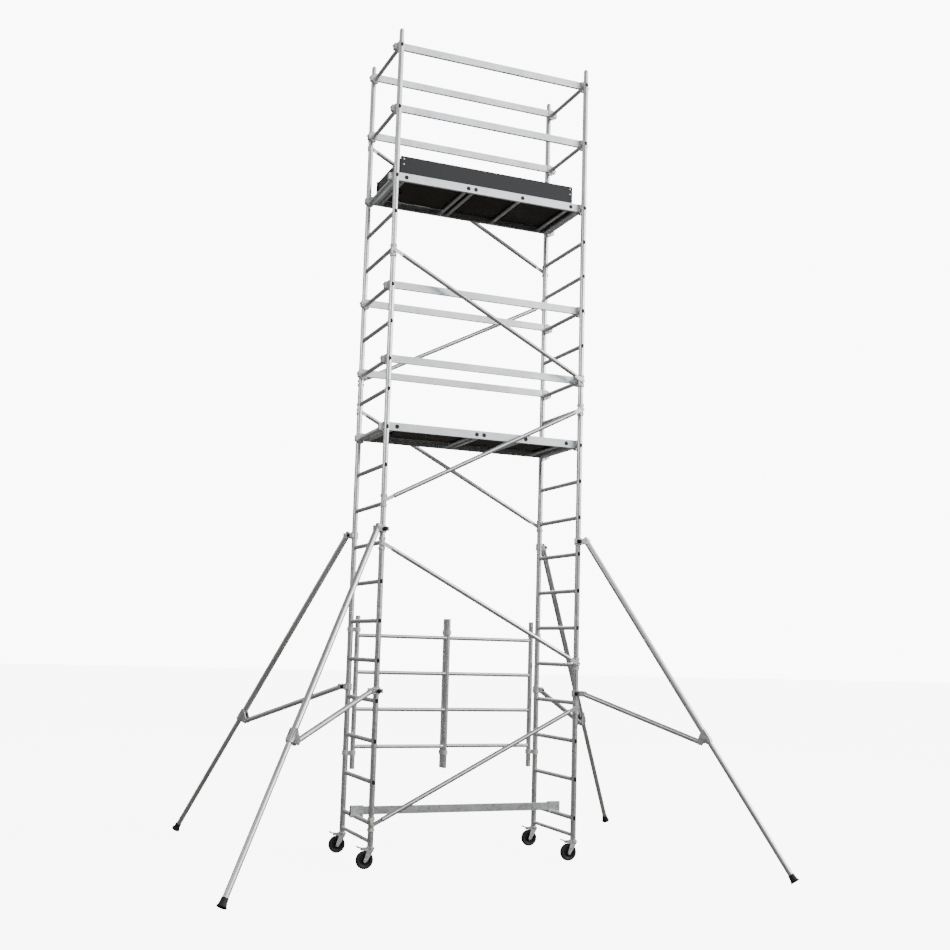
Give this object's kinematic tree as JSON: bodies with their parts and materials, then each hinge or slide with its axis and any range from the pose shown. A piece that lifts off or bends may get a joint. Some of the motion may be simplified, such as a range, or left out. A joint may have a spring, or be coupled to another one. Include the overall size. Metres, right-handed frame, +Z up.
{
  "type": "mobile scaffold tower",
  "caption": "Tall aluminium mobile access tower with ladder end frames, diagonal braces, guard rails, hatch decks, toeboards, braked casters and telescopic outrigger stabilisers.",
  "frame": {"origin": "centre of the tower's footprint, between the four uprights, on the floor", "axes": "+Z up; X along the decks, Y along the ladder rungs, with the folding back panel on the +Y side"},
  "size_m": [4.0796, 3.2375, 6.174],
  "materials": {
    "tube": "bright drawn aluminium tube, lightly scuffed",
    "profile": "extruded aluminium, satin",
    "casting": "dull cast aluminium",
    "galvanised": "galvanised pressed steel",
    "plywood": "dark film-faced plywood",
    "toeboard": "dark grey film-faced board",
    "tyre": "black solid tyre and centre",
    "rubber": "matt black rubber"
  },
  "bodies": {
    "tower": {"base_frame_left": "tube", "base_frame_right": "tube", "back_panel_left": "tube", "back_panel_right": "tube", "panel_clamps": "casting", "middle_frame_left": "tube", "middle_frame_right": "tube", "upper_frame_left": "tube", "upper_frame_right": "tube", "guard_frame_left": "tube", "guard_frame_right": "tube", "diagonal_braces": "tube", "brace_claws": "casting", "guard_rails": "profile", "rail_claws": "casting", "base_bar": "profile", "lower_deck_frame": "profile", "upper_deck_frame": "profile", "lower_deck_board": "plywood", "upper_deck_board": "plywood", "toeboards": "toeboard", "caster_stems": "galvanised"},
    "lower_hatch": {"lower_hatch": "plywood"},
    "upper_hatch": {"upper_hatch": "plywood"},
    "caster_fl": {"fork_fl": "galvanised"},
    "wheel_fl": {"wheel_fl": "tyre"},
    "brake_fl": {"brake_fl": "galvanised"},
    "stabiliser_fl": {"top_coupler_fl": "galvanised"},
    "leg_fl": {"leg_fl": "tube"},
    "inner_leg_fl": {"inner_leg_fl": "tube", "foot_fl": "rubber"},
    "clamp_fl": {"low_clamp_fl": "galvanised"},
    "strut_fl": {"strut_fl": "tube"},
    "caster_fr": {"fork_fr": "galvanised"},
    "wheel_fr": {"wheel_fr": "tyre"},
    "brake_fr": {"brake_fr": "galvanised"},
    "stabiliser_fr": {"top_coupler_fr": "galvanised"},
    "leg_fr": {"leg_fr": "tube"},
    "inner_leg_fr": {"inner_leg_fr": "tube", "foot_fr": "rubber"},
    "clamp_fr": {"low_clamp_fr": "galvanised"},
    "strut_fr": {"strut_fr": "tube"},
    "caster_rl": {"fork_rl": "galvanised"},
    "wheel_rl": {"wheel_rl": "tyre"},
    "brake_rl": {"brake_rl": "galvanised"},
    "stabiliser_rl": {"top_coupler_rl": "galvanised"},
    "leg_rl": {"leg_rl": "tube"},
    "inner_leg_rl": {"inner_leg_rl": "tube", "foot_rl": "rubber"},
    "clamp_rl": {"low_clamp_rl": "galvanised"},
    "strut_rl": {"strut_rl": "tube"},
    "caster_rr": {"fork_rr": "galvanised"},
    "wheel_rr": {"wheel_rr": "tyre"},
    "brake_rr": {"brake_rr": "galvanised"},
    "stabiliser_rr": {"top_coupler_rr": "galvanised"},
    "leg_rr": {"leg_rr": "tube"},
    "inner_leg_rr": {"inner_leg_rr": "tube", "foot_rr": "rubber"},
    "clamp_rr": {"low_clamp_rr": "galvanised"},
    "strut_rr": {"strut_rr": "tube"}
  },
  "joints": [
    {"name": "lower_hatch_hinge", "type": "hinge", "parent": "tower", "child": "lower_hatch", "pos_m": [-0.4, 0.268, 3.143], "axis": [-1, 0, 0], "range_deg": [0, 90]},
    {"name": "upper_hatch_hinge", "type": "hinge", "parent": "tower", "child": "upper_hatch", "pos_m": [-0.4, 0.268, 5.049], "axis": [-1, 0, 0], "range_deg": [0, 90]},
    {"name": "swivel_fl", "type": "hinge", "parent": "tower", "child": "caster_fl", "pos_m": [-0.785, -0.345, 0.14], "axis": [0, 0, 1], "continuous": true},
    {"name": "wheel_spin_fl", "type": "hinge", "parent": "caster_fl", "child": "wheel_fl", "pos_m": [-0.823, -0.345, 0.0625], "axis": [0, 1, 0], "continuous": true},
    {"name": "brake_pedal_fl", "type": "hinge", "parent": "caster_fl", "child": "brake_fl", "pos_m": [-0.829, -0.345, 0.138], "axis": [0, -1, 0], "range_deg": [0, 20]},
    {"name": "stabiliser_swing_fl", "type": "hinge", "parent": "tower", "child": "stabiliser_fl", "pos_m": [-0.785, -0.345, 2.36], "axis": [0, 0, 1], "range_deg": [-30, 30]},
    {"name": "leg_fold_fl", "type": "hinge", "parent": "stabiliser_fl", "child": "leg_fl", "pos_m": [-0.83775, -0.39102, 2.36], "axis": [0.6574, -0.7536, 0], "range_deg": [0, 2.5]},
    {"name": "leg_slide_fl", "type": "slide", "parent": "leg_fl", "child": "inner_leg_fl", "axis": [0.417, 0.3638, 0.8329], "range_m": [0, 0.55]},
    {"name": "clamp_slide_fl", "type": "slide", "parent": "stabiliser_fl", "child": "clamp_fl", "axis": [0, 0, 1], "range_m": [0, 0.11018]},
    {"name": "strut_fold_fl", "type": "hinge", "parent": "clamp_fl", "child": "strut_fl", "pos_m": [-0.83172, -0.38576, 1.215], "axis": [0.6574, -0.7536, 0], "range_deg": [0, 9.72]},
    {"name": "swivel_fr", "type": "hinge", "parent": "tower", "child": "caster_fr", "pos_m": [0.785, -0.345, 0.14], "axis": [0, 0, 1], "continuous": true},
    {"name": "wheel_spin_fr", "type": "hinge", "parent": "caster_fr", "child": "wheel_fr", "pos_m": [0.747, -0.345, 0.0625], "axis": [0, 1, 0], "continuous": true},
    {"name": "brake_pedal_fr", "type": "hinge", "parent": "caster_fr", "child": "brake_fr", "pos_m": [0.741, -0.345, 0.138], "axis": [0, -1, 0], "range_deg": [0, 20]},
    {"name": "stabiliser_swing_fr", "type": "hinge", "parent": "tower", "child": "stabiliser_fr", "pos_m": [0.785, -0.345, 2.36], "axis": [0, 0, 1], "range_deg": [-30, 30]},
    {"name": "leg_fold_fr", "type": "hinge", "parent": "stabiliser_fr", "child": "leg_fr", "pos_m": [0.83138, -0.39743, 2.36], "axis": [0.749, 0.6626, 0], "range_deg": [0, 2.5]},
    {"name": "leg_slide_fr", "type": "slide", "parent": "leg_fr", "child": "inner_leg_fr", "axis": [-0.3667, 0.4145, 0.8329], "range_m": [0, 0.55]},
    {"name": "clamp_slide_fr", "type": "slide", "parent": "stabiliser_fr", "child": "clamp_fr", "axis": [0, 0, 1], "range_m": [0, 0.11018]},
    {"name": "strut_fold_fr", "type": "hinge", "parent": "clamp_fr", "child": "strut_fr", "pos_m": [0.82608, -0.39144, 1.215], "axis": [0.749, 0.6626, 0], "range_deg": [0, 9.72]},
    {"name": "swivel_rl", "type": "hinge", "parent": "tower", "child": "caster_rl", "pos_m": [-0.785, 0.345, 0.14], "axis": [0, 0, 1], "continuous": true},
    {"name": "wheel_spin_rl", "type": "hinge", "parent": "caster_rl", "child": "wheel_rl", "pos_m": [-0.823, 0.345, 0.0625], "axis": [0, 1, 0], "continuous": true},
    {"name": "brake_pedal_rl", "type": "hinge", "parent": "caster_rl", "child": "brake_rl", "pos_m": [-0.829, 0.345, 0.138], "axis": [0, -1, 0], "range_deg": [0, 20]},
    {"name": "stabiliser_swing_rl", "type": "hinge", "parent": "tower", "child": "stabiliser_rl", "pos_m": [-0.785, 0.345, 2.36], "axis": [0, 0, 1], "range_deg": [-30, 30]},
    {"name": "leg_fold_rl", "type": "hinge", "parent": "stabiliser_rl", "child": "leg_rl", "pos_m": [-0.82867, 0.39971, 2.36], "axis": [-0.7815, -0.6239, 0], "range_deg": [0, 2.5]},
    {"name": "leg_slide_rl", "type": "slide", "parent": "leg_rl", "child": "inner_leg_rl", "axis": [0.3452, -0.4325, 0.8329], "range_m": [0, 0.55]},
    {"name": "clamp_slide_rl", "type": "slide", "parent": "stabiliser_rl", "child": "clamp_rl", "axis": [0, 0, 1], "range_m": [0, 0.11018]},
    {"name": "strut_fold_rl", "type": "hinge", "parent": "clamp_rl", "child": "strut_rl", "pos_m": [-0.82368, 0.39345, 1.215], "axis": [-0.7815, -0.6239, 0], "range_deg": [0, 9.72]},
    {"name": "swivel_rr", "type": "hinge", "parent": "tower", "child": "caster_rr", "pos_m": [0.785, 0.345, 0.14], "axis": [0, 0, 1], "continuous": true},
    {"name": "wheel_spin_rr", "type": "hinge", "parent": "caster_rr", "child": "wheel_rr", "pos_m": [0.747, 0.345, 0.0625], "axis": [0, 1, 0], "continuous": true},
    {"name": "brake_pedal_rr", "type": "hinge", "parent": "caster_rr", "child": "brake_rr", "pos_m": [0.741, 0.345, 0.138], "axis": [0, -1, 0], "range_deg": [0, 20]},
    {"name": "stabiliser_swing_rr", "type": "hinge", "parent": "tower", "child": "stabiliser_rr", "pos_m": [0.785, 0.345, 2.36], "axis": [0, 0, 1], "range_deg": [-30, 30]},
    {"name": "leg_fold_rr", "type": "hinge", "parent": "stabiliser_rr", "child": "leg_rr", "pos_m": [0.83775, 0.39102, 2.36], "axis": [-0.6574, 0.7536, 0], "range_deg": [0, 2.5]},
    {"name": "leg_slide_rr", "type": "slide", "parent": "leg_rr", "child": "inner_leg_rr", "axis": [-0.417, -0.3638, 0.8329], "range_m": [0, 0.55]},
    {"name": "clamp_slide_rr", "type": "slide", "parent": "stabiliser_rr", "child": "clamp_rr", "axis": [0, 0, 1], "range_m": [0, 0.11018]},
    {"name": "strut_fold_rr", "type": "hinge", "parent": "clamp_rr", "child": "strut_rr", "pos_m": [0.83172, 0.38576, 1.215], "axis": [-0.6574, 0.7536, 0], "range_deg": [0, 9.72]}
  ],
  "couplings": [
    {"joint": "clamp_slide_fl", "follows": "leg_fold_fl", "m_per_rad": 2.5205},
    {"joint": "strut_fold_fl", "follows": "leg_fold_fl", "ratio": 3.8839},
    {"joint": "clamp_slide_fr", "follows": "leg_fold_fr", "m_per_rad": 2.5205},
    {"joint": "strut_fold_fr", "follows": "leg_fold_fr", "ratio": 3.8839},
    {"joint": "clamp_slide_rl", "follows": "leg_fold_rl", "m_per_rad": 2.5205},
    {"joint": "strut_fold_rl", "follows": "leg_fold_rl", "ratio": 3.8839},
    {"joint": "clamp_slide_rr", "follows": "leg_fold_rr", "m_per_rad": 2.5205},
    {"joint": "strut_fold_rr", "follows": "leg_fold_rr", "ratio": 3.8839}
  ]
}
